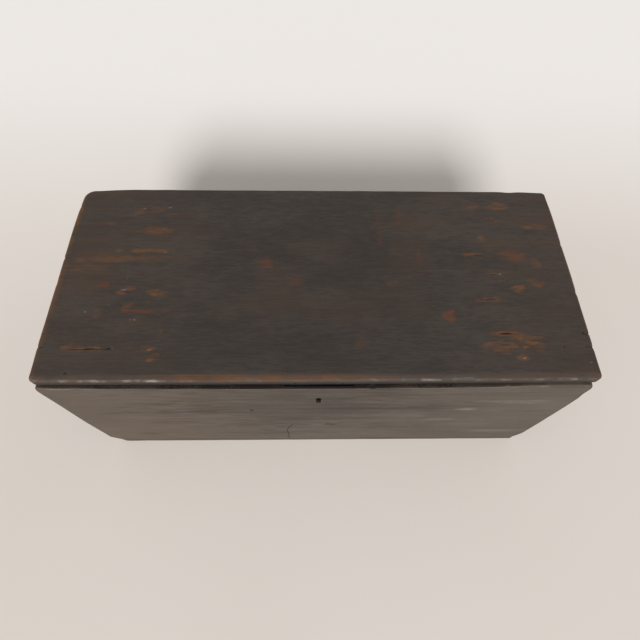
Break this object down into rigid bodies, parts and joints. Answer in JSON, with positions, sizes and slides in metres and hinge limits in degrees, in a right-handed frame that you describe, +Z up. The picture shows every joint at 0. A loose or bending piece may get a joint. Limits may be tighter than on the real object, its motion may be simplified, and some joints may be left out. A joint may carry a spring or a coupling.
{
  "type": "storage chest",
  "caption": "Low wooden storage chest of nailed boards with a flat hinged lid, iron strap hinges and a half-mortise lock with a keyhole in the front.",
  "frame": {"origin": "on the floor under the middle of the closed chest, lid included", "axes": "+X along the chest's length, -Y towards the front with the keyhole, +Z up"},
  "size_m": [0.78, 0.3466, 0.3195],
  "materials": {
    "lid_paint": "thin near-black paint, worn through to brown wood",
    "wall_paint": "thin dark grey-brown paint, rubbed and dusty",
    "bottom_wood": "bare aged softwood, scuffed",
    "batten_wood": "bare aged softwood",
    "nail_iron": "rusty iron",
    "hinge_iron": "dark forged iron with some rust",
    "screw_iron": "dark iron, worn bright at the slots",
    "lock_iron": "dull iron with light rust",
    "spring_steel": "blued spring steel"
  },
  "bodies": {
    "chest": {"front_board": "wall_paint", "back_board": "wall_paint", "left_end_board": "wall_paint", "right_end_board": "wall_paint", "bottom_front_plank": "bottom_wood", "bottom_rear_plank": "bottom_wood", "front_corner_nails": "nail_iron", "back_corner_nails": "nail_iron", "bottom_nails": "nail_iron", "left_hinge_leaf": "hinge_iron", "right_hinge_leaf": "hinge_iron", "left_hinge_pin": "hinge_iron", "right_hinge_pin": "hinge_iron", "hinge_leaf_screws": "screw_iron", "lock_plate": "lock_iron", "bolt_guide_studs": "lock_iron", "bolt_spring": "spring_steel", "drill_pin": "lock_iron", "lock_screws": "screw_iron"},
    "lid": {"lid_board": "lid_paint", "left_lid_batten": "batten_wood", "right_lid_batten": "batten_wood", "batten_nails": "nail_iron", "left_hinge_strap": "hinge_iron", "right_hinge_strap": "hinge_iron", "hinge_strap_screws": "screw_iron", "link_plate": "lock_iron", "link_plate_screws": "screw_iron"},
    "bolt": {"lock_bolt": "lock_iron"}
  },
  "joints": [
    {"name": "lid_hinge", "type": "hinge", "parent": "chest", "child": "lid", "pos_m": [0, 0.16325, 0.30175], "axis": [-1, 0, 0], "range_deg": [0, 100]},
    {"name": "bolt_slide", "type": "slide", "parent": "chest", "child": "bolt", "axis": [1, 0, 0], "range_m": [0, 0.009]}
  ]
}
